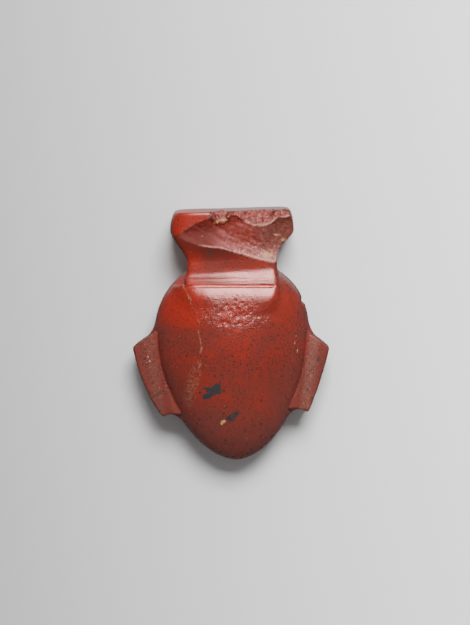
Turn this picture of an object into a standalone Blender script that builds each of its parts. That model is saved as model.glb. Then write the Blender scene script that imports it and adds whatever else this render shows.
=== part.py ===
"""Heart amulet carved from one piece of red jasper, lying on its back.

An egg-shaped heart with a lug on each side carries a waisted, square-cornered neck and a flaring
rim with a flat top. The front of the rim is broken away in a few large flakes. The amulet lies
with its front up and its rim towards +Y.

The stone is shaped in its own axes: X across the front, Y up from the tip of the heart, and Z
forwards from the middle plane of the lugs. An empty then sets it down with the origin under the
middle of its box. Lengths are in metres.
"""

import math

import bmesh
import bpy
from mathutils import Euler, Matrix, Vector

MM = 0.001

# Heart
HEART_WIDTH = 24.6 * MM
HEART_FRONT = 8.0 * MM
HEART_BACK = 7.0 * MM
WIDEST_HEIGHT = 19.7 * MM
SHOULDER_RISE = 12.1 * MM
TIP_DRIFT = 0.6 * MM
TIP_FULLNESS = 1.78
LEFT_SHOULDER_FULLNESS = 2.2
RIGHT_SHOULDER_FULLNESS = 2.35
FRONT_SHOULDER_FULLNESS = 2.45
SECTION_FULLNESS = 2.15
SHOULDER_SQUARENESS = 2.5

# Apron: the low step that runs down from the neck onto the heart, with a corner out to the left
APRON_ABOVE_WIDEST = 3.1 * MM
APRON_FADE = 4.0 * MM
APRON_RISE = 0.2 * MM
APRON_WIDTH = 14.0 * MM
APRON_LEFT_CORNER = 1.6 * MM
APRON_LEFT_SQUARENESS = 3.0
APRON_RIGHT_SQUARENESS = 3.0
CORNER_SQUARENESS = 5.0

# Neck, with a lip and a cut line at its foot: it runs straight down to a bend, then out to the lip
GROOVE_ABOVE_APRON = 5.25 * MM
GROOVE_WIDTH = 0.5 * MM
GROOVE_DEPTH = 0.22 * MM
LIP_ABOVE_GROOVE = 0.95 * MM
LIP_WIDTH = 14.8 * MM
LIP_FRONT = 6.35 * MM
LIP_BACK = 5.9 * MM
LIP_SLOPE = math.radians(17.0)
BEND_ABOVE_LIP = 1.35 * MM
FOOT_CURVE = 1.15
NECK_ABOVE_BEND = 1.55 * MM
NECK_WIDTH = 14.1 * MM
NECK_FRONT = 5.6 * MM
NECK_BACK = 4.5 * MM
NECK_SQUARENESS = 18.0
NECK_SLOPE = math.radians(3.0)
NECK_SLOPE_RISE = 1.5 * MM

# Rim
RIM_ABOVE_NECK = 4.9 * MM
RIM_WIDTH = 19.5 * MM
RIM_FRONT = 7.1 * MM
RIM_BACK = 6.5 * MM
RIM_SQUARENESS = 6.0
TOP_ABOVE_RIM = 3.0 * MM
TOP_WIDTH = 18.2 * MM
TOP_SLOPE = math.radians(1.6)
TOP_ARRIS = 0.25 * MM
RIGHT_UNDERCUT = 0.6 * MM

# Heights above the tip of the heart
APRON_HEIGHT = WIDEST_HEIGHT + APRON_ABOVE_WIDEST
GROOVE_HEIGHT = APRON_HEIGHT + GROOVE_ABOVE_APRON
LIP_HEIGHT = GROOVE_HEIGHT + LIP_ABOVE_GROOVE
BEND_HEIGHT = LIP_HEIGHT + BEND_ABOVE_LIP
NECK_HEIGHT = BEND_HEIGHT + NECK_ABOVE_BEND
RIM_HEIGHT = NECK_HEIGHT + RIM_ABOVE_NECK
TOP_HEIGHT = RIM_HEIGHT + TOP_ABOVE_RIM

# Lugs, left and right in the front view
LUG_THICKNESS = 5.8 * MM
LUG_EDGE_ROUNDING = 0.3 * MM
LUG_TAPER = 0.72
LUG_TOP_HEIGHT = WIDEST_HEIGHT - 1.7 * MM
LUG_TOP_FALL = 2.3 * MM
LUG_TOP_BOW = 0.1 * MM
LUG_FOOT_ARCH = 0.6 * MM
LUG_BOW_LOWNESS = 0.6
LUG_ROOT = 0.55
LEFT_LUG = {
    "length": 11.1 * MM,
    "beyond_heart": 3.45 * MM,
    "foot_inset": 5.05 * MM,
    "outer_bow": 0.88 * MM,
}
RIGHT_LUG = {
    "length": 10.25 * MM,
    "beyond_heart": 3.15 * MM,
    "foot_inset": 3.45 * MM,
    "outer_bow": 0.36 * MM,
}

# Flakes that broke off the front of the rim, in shares of the rim's half-width and depth: the
# middle of each scoop from the rim's widest ring, its radii, and its turn about Z
BROAD_FLAKE = {
    "middle": (0.103, 0.063, 1.232),
    "radii": (1.456, 0.704, 0.465),
    "turn": 0.0,
}
LONG_FLAKE = {
    "middle": (0.441, -0.338, 1.134),
    "radii": (0.985, 0.479, 0.423),
    "turn": math.radians(-17.0),
}
RIGHT_FLAKE = {
    "middle": (0.985, -0.225, 1.394),
    "radii": (0.656, 0.930, 0.817),
    "turn": math.radians(12.0),
}

# The broad flake ends on the left at a slanting plane, whose upper edge runs between two points
FACET_FOOT = (-0.872, -0.190, 0.873)
FACET_HEAD = (-0.379, 0.275, 1.0)
FACET_SLOPE = math.radians(38.0)

# Chips along the crushed edge above the flakes, in the same shares
LEFT_CHIP = {"middle": (-0.164, 0.577, 1.169), "radii": (0.205, 0.620, 0.479), "turn": 0.0}
MIDDLE_CHIP = {"middle": (0.441, 0.592, 1.211), "radii": (0.533, 0.718, 0.592), "turn": 0.0}
RIGHT_CHIP = {"middle": (0.862, 0.592, 1.183), "radii": (0.226, 0.563, 0.535), "turn": 0.0}

# Depth ground off the middle of the back, so that the amulet lies without rocking
RESTING_FLAT_DEPTH = 0.45 * MM

# The seam where the neck runs into the heart is filled over this length
SEAM_BLEND = 0.3 * MM

# How the surface is cut into faces
SEGMENTS = 72
SEGMENT_PULL = 3.0
TIP_RINGS = 18
RING_SPACING = 0.65 * MM
LUG_CUTS = 7
FLAKE_SEGMENTS = 40
CHIP_SEGMENTS = 24

JASPER_RED = (0.31, 0.045, 0.03, 1.0)
JASPER_ROUGHNESS = 0.3


def smooth_step(low, high, value):
    """0 below low, 1 above high, and an S-curve between them."""
    share = min(max((value - low) / (high - low), 0.0), 1.0)
    return share * share * (3.0 - 2.0 * share)


def mix(start, end, share):
    return start + (end - start) * share


def blended_max(a, b, blend):
    """The larger of two lengths, with the corner between them filled over the blend length."""
    overlap = max(blend - abs(a - b), 0.0) / blend
    return max(a, b) + overlap * overlap * blend / 4.0


def section_radius(angle, half_width, half_depth, squareness):
    """Distance from the axis to a superellipse, in the direction of the angle."""
    across = abs(math.cos(angle) / half_width) ** squareness
    forwards = abs(math.sin(angle) / half_depth) ** squareness
    return (across + forwards) ** (-1.0 / squareness)


def heart_share(height, angle):
    """The heart's size at a height, as a share of its size at the widest ring."""
    if height < WIDEST_HEIGHT:
        away, fullness = (WIDEST_HEIGHT - height) / WIDEST_HEIGHT, TIP_FULLNESS
    else:
        away = (height - WIDEST_HEIGHT) / SHOULDER_RISE
        rightness = (1 + math.cos(angle)) / 2
        fullness = mix(LEFT_SHOULDER_FULLNESS, RIGHT_SHOULDER_FULLNESS, rightness)
        fullness = mix(fullness, FRONT_SHOULDER_FULLNESS, math.sin(angle) ** 2)
    return max(1.0 - away**fullness, 0.0) ** (1.0 / fullness)


def heart_radius(height, angle):
    half_depth = HEART_FRONT if math.sin(angle) > 0 else HEART_BACK
    up_shoulder = smooth_step(WIDEST_HEIGHT, LIP_HEIGHT, height)
    squareness = mix(SECTION_FULLNESS, SHOULDER_SQUARENESS, up_shoulder)
    full = section_radius(angle, HEART_WIDTH / 2, half_depth, squareness)
    return heart_share(height, angle) * full


def neck_profile(height, apron, lip, lip_slope, neck, rim, top):
    """A half-width or half-depth of the apron, lip, neck and rim at a height."""
    if height < GROOVE_HEIGHT:
        return apron
    if height < LIP_HEIGHT:
        return lip + (LIP_HEIGHT - height) * lip_slope
    if height < NECK_HEIGHT:
        down = max(BEND_HEIGHT - height, 0.0) / (BEND_HEIGHT - LIP_HEIGHT)
        return mix(neck, lip, down**FOOT_CURVE)
    if height < RIM_HEIGHT:
        return mix(neck, rim, smooth_step(NECK_HEIGHT, RIM_HEIGHT, height))
    up = (height - RIM_HEIGHT) / (TOP_HEIGHT - RIM_HEIGHT)
    return mix(rim, top, up * up)


def apron_depth(height, half_depth):
    """Depth of the heart's middle at a height, and the apron's slight rise on it."""
    rising = smooth_step(APRON_HEIGHT, APRON_HEIGHT + APRON_FADE, height)
    rise = mix(-SEAM_BLEND, APRON_RISE, rising)
    return heart_share(height, math.pi / 2) * half_depth + rise


def groove_cut(height):
    """Depth of the line that is cut across the front, under the lip."""
    away = abs(height - GROOVE_HEIGHT) / (GROOVE_WIDTH / 2)
    return GROOVE_DEPTH * max(1.0 - away, 0.0)


def neck_radius(height, angle):
    """Distance from the axis to the apron, neck and rim, or nothing below the apron."""
    if height <= APRON_HEIGHT:
        return 0.0
    up_apron = smooth_step(APRON_HEIGHT, GROOVE_HEIGHT, height)
    widening = 2 * APRON_LEFT_CORNER if math.cos(angle) < 0 else LIP_WIDTH - APRON_WIDTH
    half_width = 0.5 * neck_profile(
        height, APRON_WIDTH + widening * up_apron, LIP_WIDTH, 0.0, NECK_WIDTH, RIM_WIDTH, TOP_WIDTH
    )
    if math.sin(angle) > 0:
        apron = apron_depth(height, HEART_FRONT)
        slope = math.tan(LIP_SLOPE)
        half_depth = neck_profile(height, apron, LIP_FRONT, slope, NECK_FRONT, RIM_FRONT, RIM_FRONT)
        half_depth -= groove_cut(height)
    else:
        apron = apron_depth(height, HEART_BACK)
        half_depth = neck_profile(height, apron, LIP_BACK, 0.0, NECK_BACK, RIM_BACK, RIM_BACK)
    left = mix(APRON_LEFT_SQUARENESS, CORNER_SQUARENESS, up_apron)
    right = mix(APRON_RIGHT_SQUARENESS, NECK_SQUARENESS, up_apron)
    apron = mix(left, right, smooth_step(-0.6, 0.6, math.cos(angle)))
    squareness = neck_profile(
        height, apron, NECK_SQUARENESS, 0.0, NECK_SQUARENESS, RIM_SQUARENESS, RIM_SQUARENESS
    )
    rounding = TOP_ARRIS * smooth_step(TOP_HEIGHT - TOP_ARRIS, TOP_HEIGHT, height)
    up = min(max((height - NECK_HEIGHT) / (RIM_HEIGHT - NECK_HEIGHT), 0.0), 1.0)
    undercut = RIGHT_UNDERCUT * math.sin(math.pi * up) ** 2 * max(math.cos(angle), 0.0)
    return section_radius(angle, half_width, half_depth, squareness) - rounding - undercut


def tilt(height):
    """How much a ring rises towards the right: most at the neck, and again at the top."""
    at_neck = smooth_step(LIP_HEIGHT, LIP_HEIGHT + NECK_SLOPE_RISE, height)
    at_neck *= 1.0 - smooth_step(NECK_HEIGHT, RIM_HEIGHT, height)
    at_top = smooth_step(RIM_HEIGHT, TOP_HEIGHT, height)
    return math.tan(NECK_SLOPE) * at_neck + math.tan(TOP_SLOPE) * at_top


def heights():
    """Height of each ring of the surface, from the tip to the top."""
    quarter_turn = math.pi / 2
    rings = [
        WIDEST_HEIGHT * (1 - math.cos(quarter_turn * i / TIP_RINGS)) for i in range(1, TIP_RINGS)
    ]
    stops = [
        WIDEST_HEIGHT,
        APRON_HEIGHT,
        GROOVE_HEIGHT - GROOVE_WIDTH / 2,
        GROOVE_HEIGHT,
        GROOVE_HEIGHT + GROOVE_WIDTH / 2,
        LIP_HEIGHT,
        BEND_HEIGHT,
        NECK_HEIGHT,
        RIM_HEIGHT,
        TOP_HEIGHT - TOP_ARRIS,
    ]
    for low, high in zip(stops, stops[1:]):
        count = math.ceil((high - low) / RING_SPACING)
        rings += [mix(low, high, i / count) for i in range(count)]
    return [*rings, TOP_HEIGHT - TOP_ARRIS, TOP_HEIGHT]


def mesh_object(name, bm, collection):
    """A smooth-shaded object from a bmesh, which is freed."""
    mesh = bpy.data.meshes.new(name)
    bmesh.ops.recalc_face_normals(bm, faces=bm.faces)
    bm.to_mesh(mesh)
    bm.free()
    mesh.shade_smooth()
    mesh.set_sharp_from_angle(angle=math.radians(35))
    made = bpy.data.objects.new(name, mesh)
    collection.objects.link(made)
    return made


def ring_angle(turn):
    """Direction of a point on a ring: the points gather towards the corners of the neck."""
    across = math.copysign(abs(math.cos(turn)) ** (2 / SEGMENT_PULL), math.cos(turn))
    forwards = math.copysign(abs(math.sin(turn)) ** (2 / SEGMENT_PULL), math.sin(turn))
    return math.atan2(forwards * NECK_FRONT, across * NECK_WIDTH / 2)


def stone(name, collection):
    """Heart, neck and rim: a globe whose rings are drawn to the stone's own sections."""
    rings = heights()
    bm = bmesh.new()
    bmesh.ops.create_uvsphere(bm, u_segments=SEGMENTS, v_segments=len(rings) + 1, radius=1.0)
    step = math.pi / (len(rings) + 1)
    for vertex in bm.verts:
        index = round(math.acos(max(min(-vertex.co.z, 1.0), -1.0)) / step) - 1
        if index < 0:
            vertex.co = (TIP_DRIFT, 0.0, 0.0)
        elif index >= len(rings):
            vertex.co = (0.0, TOP_HEIGHT, 0.0)
        else:
            turn = math.atan2(vertex.co.y, vertex.co.x)
            vertex.co = on_surface(rings[index], ring_angle(turn))
    return mesh_object(name, bm, collection)


def on_surface(height, angle):
    """The point of the heart, neck or rim at a height and in a direction round the axis."""
    radius = blended_max(heart_radius(height, angle), neck_radius(height, angle), SEAM_BLEND)
    x = radius * math.cos(angle)
    below = max(WIDEST_HEIGHT - height, 0.0) / WIDEST_HEIGHT
    drifted = x + TIP_DRIFT * below * below
    return Vector((drifted, height + tilt(height) * x, radius * math.sin(angle)))


def lug_bow(up):
    """Bow of a lug's outer edge, before scaling: none at its foot and top, fullest low down."""
    return (1 - up) * up**LUG_BOW_LOWNESS


def lug(name, side, size, collection):
    """A plate on one side of the heart: a block whose grid is drawn to the lug's outline."""
    bm = bmesh.new()
    bmesh.ops.create_cube(bm, size=2.0)
    bmesh.ops.subdivide_edges(bm, edges=bm.edges, cuts=LUG_CUTS, use_grid_fill=True)
    side_of_heart = HEART_WIDTH / 2
    root = LUG_ROOT * side_of_heart
    top_reach = side_of_heart + size["beyond_heart"]
    fullest = LUG_BOW_LOWNESS / (1 + LUG_BOW_LOWNESS)
    for vertex in bm.verts:
        out, up, front = (vertex.co.x + 1) / 2, (vertex.co.y + 1) / 2, vertex.co.z
        bow = size["outer_bow"] * lug_bow(up) / lug_bow(fullest)
        reach = top_reach - size["foot_inset"] * (1 - up) + bow
        x = mix(root, reach, out)
        inward = (top_reach - x) / (top_reach - side_of_heart)
        top = LUG_TOP_HEIGHT + LUG_TOP_FALL * inward
        top += LUG_TOP_BOW * max(4 * inward * (1 - inward), 0.0)
        foot = LUG_TOP_HEIGHT - size["length"] + LUG_FOOT_ARCH * 4 * out * (1 - out)
        thickness = LUG_THICKNESS * mix(1.0, LUG_TAPER, max(2 * out - 1, 0.0))
        vertex.co = (side * x, mix(foot, top, up), front * thickness / 2)
    plate = mesh_object(name, bm, collection)
    rounding = plate.modifiers.new("rounded_edges", "BEVEL")
    rounding.width = LUG_EDGE_ROUNDING
    rounding.segments = 2
    rounding.limit_method = "ANGLE"
    return plate


def rim_place(across, up, forwards):
    """A point in shares of the rim's half-width and depth, measured from its widest ring."""
    return Vector((across * RIM_WIDTH / 2, RIM_HEIGHT + up * RIM_FRONT, forwards * RIM_FRONT))


def scoop(shape, segments):
    """A scoop that takes one flake off the stone: an ellipsoid, turned about Z."""
    across, up, forwards = shape["radii"]
    radii = Vector((across * RIM_WIDTH / 2, up * RIM_FRONT, forwards * RIM_FRONT))
    turning = Euler((0.0, 0.0, shape["turn"]))
    place = Matrix.LocRotScale(rim_place(*shape["middle"]), turning, radii)
    bm = bmesh.new()
    rings = round(0.6 * segments)
    bmesh.ops.create_uvsphere(bm, u_segments=segments, v_segments=rings, radius=1.0, matrix=place)
    return bm


def keep_below_facet(bm):
    """Cuts a scoop off at the slanting plane, so that the rim's left corner stays whole."""
    foot = rim_place(*FACET_FOOT)
    along = (rim_place(*FACET_HEAD) - foot).normalized()
    level = along.cross(Vector((0.0, 0.0, 1.0))).normalized()
    facing = along.cross(level).normalized()
    outwards = Matrix.Rotation(FACET_SLOPE, 3, along) @ facing
    if outwards.z > 0:
        outwards = -outwards
    geometry = [*bm.verts, *bm.edges, *bm.faces]
    cut = bmesh.ops.bisect_plane(
        bm, geom=geometry, plane_co=foot, plane_no=outwards, clear_outer=True
    )
    edges = [edge for edge in cut["geom_cut"] if isinstance(edge, bmesh.types.BMEdge)]
    bmesh.ops.contextual_create(bm, geom=edges)


def rim_flakes(collection):
    """The scoops that broke the front of the rim."""
    broad = scoop(BROAD_FLAKE, FLAKE_SEGMENTS)
    keep_below_facet(broad)
    scoops = {
        "broad_flake": broad,
        "long_flake": scoop(LONG_FLAKE, FLAKE_SEGMENTS),
        "right_flake": scoop(RIGHT_FLAKE, FLAKE_SEGMENTS),
        "left_chip": scoop(LEFT_CHIP, CHIP_SEGMENTS),
        "middle_chip": scoop(MIDDLE_CHIP, CHIP_SEGMENTS),
        "right_chip": scoop(RIGHT_CHIP, CHIP_SEGMENTS),
    }
    return [mesh_object(name, bm, collection) for name, bm in scoops.items()]


def resting_flat(collection):
    """A block under the back, which takes off what is below the plane that the amulet lies on."""
    bm = bmesh.new()
    deep = HEART_BACK
    size = Vector((2 * HEART_WIDTH, 2 * TOP_HEIGHT, deep))
    middle = Vector((0.0, TOP_HEIGHT / 2, resting_plane() - deep / 2))
    place = Matrix.LocRotScale(middle, None, size)
    bmesh.ops.create_cube(bm, size=1.0, matrix=place)
    return mesh_object("resting_flat", bm, collection)


def resting_plane():
    """Depth of the plane that the amulet lies on, in the stone's own axes."""
    return -(HEART_BACK - RESTING_FLAT_DEPTH)


def underside_middle():
    """The point under the middle of the amulet's box, in the stone's own axes."""
    across = (RIGHT_LUG["beyond_heart"] - LEFT_LUG["beyond_heart"]) / 2
    highest = TOP_HEIGHT + math.tan(TOP_SLOPE) * (TOP_WIDTH / 2 - TOP_ARRIS)
    return Vector((across, highest / 2, resting_plane()))


def jasper():
    material = bpy.data.materials.new("red_jasper")
    material.use_nodes = True
    shader = material.node_tree.nodes["Principled BSDF"]
    shader.inputs["Base Color"].default_value = JASPER_RED
    shader.inputs["Roughness"].default_value = JASPER_ROUGHNESS
    shader.inputs["Metallic"].default_value = 0.0
    return material


def new_collection(name):
    made = bpy.data.collections.new(name)
    bpy.context.scene.collection.children.link(made)
    return made


def boolean(target, tool, operation):
    """Joins a helper to the target or cuts it away, and keeps the helper out of renders."""
    modifier = target.modifiers.new(tool.name, "BOOLEAN")
    modifier.operation = operation
    modifier.object = tool
    tool.hide_render = True
    tool.display_type = "WIRE"


def main():
    for old in list(bpy.data.objects):
        bpy.data.objects.remove(old)
    amulet = new_collection("heart_amulet")
    helpers = new_collection("joined_and_cutting_shapes")

    body = stone("heart_amulet", amulet)
    body.data.materials.append(jasper())
    lugs = [
        lug("left_lug", -1, LEFT_LUG, helpers),
        lug("right_lug", 1, RIGHT_LUG, helpers),
    ]
    cutters = [*rim_flakes(helpers), resting_flat(helpers)]
    for shape in lugs:
        boolean(body, shape, "UNION")
    for shape in cutters:
        boolean(body, shape, "DIFFERENCE")

    laid_down = bpy.data.objects.new("laid_on_its_back", None)
    laid_down.location = -underside_middle()
    amulet.objects.link(laid_down)
    for shape in [body, *lugs, *cutters]:
        shape.parent = laid_down


main()
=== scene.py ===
"""Looks of the heart amulet: its polished form, its breaks and its red jasper."""

import math

import bmesh
import bpy
import numpy as np
from mathutils import Matrix, Vector, noise


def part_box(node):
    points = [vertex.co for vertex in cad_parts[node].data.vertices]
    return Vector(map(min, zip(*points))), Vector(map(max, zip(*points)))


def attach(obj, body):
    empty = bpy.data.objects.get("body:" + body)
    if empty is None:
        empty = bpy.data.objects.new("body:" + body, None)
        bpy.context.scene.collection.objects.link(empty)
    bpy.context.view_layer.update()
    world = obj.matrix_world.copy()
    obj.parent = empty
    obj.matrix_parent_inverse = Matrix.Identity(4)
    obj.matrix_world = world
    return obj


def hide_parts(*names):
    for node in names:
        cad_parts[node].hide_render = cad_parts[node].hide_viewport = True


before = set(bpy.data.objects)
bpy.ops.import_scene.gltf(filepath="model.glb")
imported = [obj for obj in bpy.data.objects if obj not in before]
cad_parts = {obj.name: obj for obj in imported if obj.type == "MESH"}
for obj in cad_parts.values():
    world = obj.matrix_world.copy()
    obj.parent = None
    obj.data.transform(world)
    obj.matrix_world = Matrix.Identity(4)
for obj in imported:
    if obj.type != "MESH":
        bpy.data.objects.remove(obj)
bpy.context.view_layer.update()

METRES_TO_MM = 1000.0

# Sizes in millimetres, in the stone's own axes: X across the front, Y up from the tip of the heart
# and Z forwards from the middle plane of the lugs
HEART_WIDTH = 24.6
HEART_FRONT = 8.0
HEART_BACK = 7.0
WIDEST_HEIGHT = 19.7
SHOULDER_RISE = 12.1
TIP_DRIFT = 0.6
TIP_FULLNESS = 1.78
LEFT_SHOULDER_FULLNESS = 2.2
RIGHT_SHOULDER_FULLNESS = 2.35
FRONT_SHOULDER_FULLNESS = 2.45
SECTION_FULLNESS = 2.15
SHOULDER_SQUARENESS = 2.5

APRON_HEIGHT = 22.8
APRON_FADE = 4.0
APRON_RISE = 0.2
APRON_WIDTH = 14.0
APRON_LEFT_CORNER = 1.6
APRON_LEFT_SQUARENESS = 3.0
APRON_RIGHT_SQUARENESS = 3.0
CORNER_SQUARENESS = 5.0
GROOVE_HEIGHT = 28.05
GROOVE_WIDTH = 0.5
GROOVE_DEPTH = 0.22
GROOVE_LENGTH = 13.2
GROOVE_END_FADE = 0.4
LIP_HEIGHT = 29.0
LIP_WIDTH = 14.8
LIP_FRONT = 6.35
LIP_BACK = 5.9
LIP_SLOPE = math.radians(17.0)
LIP_LEFT_SLOPE = math.radians(7.0)
LIP_SLOPE_CHANGE = (-7.0, 2.0)
NECK_BEND_HEIGHT = 30.35
NECK_BEND_SOFTNESS = 0.09
BEND_DROP = 0.1
LEFT_BEND_DROP = 0.5
BEND_DROP_ACROSS = (3.0, -7.0)
BEND_DROP_FADE = 0.5
NECK_HEIGHT = 31.9
NECK_WIDTH = 14.1
NECK_FRONT = 5.6
NECK_BACK = 4.5
NECK_SQUARENESS = 18.0
NECK_SLOPE = math.radians(3.0)
NECK_TILT_FADE = 1.5
CORNER_CHANGE = (-5.0, 5.0)
SEAM_BLEND = 0.3
LEFT_SEAM_BLEND = 1.5
RIGHT_SEAM_BLEND = 0.8
SEAM_CHANGE = (4.0, 7.0)
SEAM_TOP = (28.6, 27.6)

RIM_HEIGHT = 36.8
RIM_WIDTH = 19.5
RIM_FRONT = 7.1
RIM_BACK = 6.5
RIM_SQUARENESS = 6.0
TOP_HEIGHT = 39.8
TOP_WIDTH = 18.2
TOP_SLOPE = math.radians(1.6)
TOP_ARRIS = 0.25
RIGHT_UNDERCUT = 0.6

LUG_THICKNESS = 5.8
LUG_EDGE_ROUNDING = 0.25
LUG_TAPER = 0.72
LUG_TOP_HEIGHT = WIDEST_HEIGHT - 1.7
LUG_TOP_FALL = 2.3
LUG_TOP_BOW = 0.1
LUG_FOOT_ARCH = 0.6
LUG_BOW_LOWNESS = 0.6
LUG_ROOT = 0.55
LUG_FILLET = 1.7
LUG_LINE_DEPTH = 0.6
LUG_LINE_OFFSET = 0.02
LUG_LINE_WIDTH = 0.09
LUG_LINE_BEHIND_FACE = (-0.9, -0.3)
LUG_FRONT_SEAM = 0.02
LUG_FILLET_BEHIND_FACE = (-0.2, -1.2)
LEFT_LUG = {"length": 11.1, "beyond_heart": 3.45, "foot_inset": 5.05, "outer_bow": 0.88}
RIGHT_LUG = {"length": 10.25, "beyond_heart": 3.15, "foot_inset": 3.45, "outer_bow": 0.36}

RESTING_DEPTH = HEART_BACK - 0.45

# Scoops that broke the front of the rim: centre, radii, and turns about Y and then Z in degrees
BROKEN_FLAKES = [
    ((1.0, 37.25, 8.75), (15.0, 5.0, 3.3), (0.0, 0.0)),
    ((4.3, 34.4, 8.05), (9.6, 3.4, 3.0), (0.0, -17.0)),
    ((9.6, 35.2, 9.9), (6.4, 6.6, 5.8), (0.0, 12.0)),
]
EDGE_CHIPS = [
    ((-1.6, 40.9, 8.3), (2.0, 4.4, 3.4), (0.0, 0.0)),
    ((0.9, 41.2, 7.9), (2.6, 2.6, 3.0), (0.0, 0.0)),
    ((4.3, 41.0, 8.6), (5.2, 5.1, 4.2), (0.0, 0.0)),
    ((8.4, 41.0, 8.4), (2.2, 4.0, 3.8), (0.0, 0.0)),
]
FLAKE_BLEND = 0.5
FACET_CORNERS = ((-8.5, 35.45, 6.2), (-3.7, 38.75, 7.1))
LEFT_END_LIFT = 0.35
LEFT_END_ACROSS = (-2.5, -8.0)
FACET_SLOPE = math.radians(38.0)
BREAK_EDGE = 0.05

# How finely the stone is meshed, and how its points settle on the form
VOXEL = 0.19
SETTLING_STEPS = 5
LEAST_SQUARED_SLOPE = 0.2
PROBE = 0.004


def smooth_step(low, high, value):
    share = np.clip((value - low) / (high - low), 0.0, 1.0)
    return share * share * (3.0 - 2.0 * share)


def mix(start, end, share):
    return start + (end - start) * share


def smooth_max(a, b, blend):
    """The larger of two levels, rounded over the blend where they are nearly equal."""
    overlap = np.maximum(blend - np.abs(a - b), 0.0) / blend
    return np.maximum(a, b) + overlap * overlap * blend / 4.0


def smooth_min(a, b, blend):
    return -smooth_max(-a, -b, blend)


def gradient(level, points):
    """Slope of a level at each point, from probes to both sides along X, Y and Z."""
    slope = np.empty_like(points)
    for axis in range(3):
        step = np.zeros(3)
        step[axis] = PROBE
        slope[:, axis] = (level(points + step) - level(points - step)) / (2 * PROBE)
    return slope


def as_distance(level, points):
    """A level divided by its slope, which is near the surface a distance in millimetres."""
    here = level(points)
    squared = np.zeros(len(points))
    for axis in range(3):
        step = np.zeros(3)
        step[axis] = PROBE
        squared += ((level(points + step) - here) / PROBE) ** 2
    return here / np.clip(np.sqrt(squared), 1e-3, 2.0)


def heart(points):
    """Below 0 inside the egg-shaped heart."""
    x, y, z = points.T
    below = np.maximum(WIDEST_HEIGHT - y, 0.0) / WIDEST_HEIGHT
    x = x - TIP_DRIFT * below * below
    half_depth = np.where(z > 0, HEART_FRONT, HEART_BACK)
    squareness = mix(
        SECTION_FULLNESS, SHOULDER_SQUARENESS, smooth_step(WIDEST_HEIGHT, LIP_HEIGHT, y)
    )
    section = np.abs(2 * x / HEART_WIDTH) ** squareness + np.abs(z / half_depth) ** squareness
    section = section ** (1 / squareness)
    radius = np.maximum(np.hypot(x, z), 1e-6)
    upper = mix(LEFT_SHOULDER_FULLNESS, RIGHT_SHOULDER_FULLNESS, 0.5 + 0.5 * x / radius)
    upper = mix(upper, FRONT_SHOULDER_FULLNESS, (z / radius) ** 2)
    above = np.maximum(y - WIDEST_HEIGHT, 0.0) / SHOULDER_RISE
    fullness = np.where(y < WIDEST_HEIGHT, TIP_FULLNESS, upper)
    away = np.where(y < WIDEST_HEIGHT, below, above)
    return (section**fullness + away**fullness) ** (1 / fullness) - 1.0


def apron_depth(height, half_depth):
    """Depth of the heart's middle above its widest ring, and the apron's slight rise on it."""
    above = np.clip((height - WIDEST_HEIGHT) / SHOULDER_RISE, 0.0, 0.99)
    share = (1 - above**FRONT_SHOULDER_FULLNESS) ** (1 / FRONT_SHOULDER_FULLNESS)
    rising = smooth_step(APRON_HEIGHT, APRON_HEIGHT + APRON_FADE, height)
    return half_depth * share + mix(-SEAM_BLEND, APRON_RISE, rising)


def neck_profile(height, apron, lip, lip_slope, neck, rim, top):
    """A half-width or half-depth of the apron, lip, neck and rim at each height."""
    size = np.where(height < GROOVE_HEIGHT, apron, lip + (LIP_HEIGHT - height) * lip_slope)
    down = (NECK_BEND_HEIGHT - height) / (NECK_BEND_HEIGHT - LIP_HEIGHT)
    spread = (down + np.sqrt(down * down + NECK_BEND_SOFTNESS)) / 2
    size = np.where(height < LIP_HEIGHT, size, mix(neck, lip, spread))
    flare = mix(neck, rim, smooth_step(NECK_HEIGHT, RIM_HEIGHT, height))
    size = np.where(height < NECK_HEIGHT, size, flare)
    up = (height - RIM_HEIGHT) / (TOP_HEIGHT - RIM_HEIGHT)
    return np.where(height < RIM_HEIGHT, size, mix(rim, top, up * np.abs(up)))


def tilt(height):
    """How much the carving rises towards the right: most at the neck, and again at the top."""
    at_neck = smooth_step(LIP_HEIGHT, LIP_HEIGHT + NECK_TILT_FADE, height)
    at_neck = at_neck * smooth_step(RIM_HEIGHT, NECK_HEIGHT, height)
    at_top = smooth_step(RIM_HEIGHT, TOP_HEIGHT, height)
    return math.tan(NECK_SLOPE) * at_neck + math.tan(TOP_SLOPE) * at_top


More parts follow.
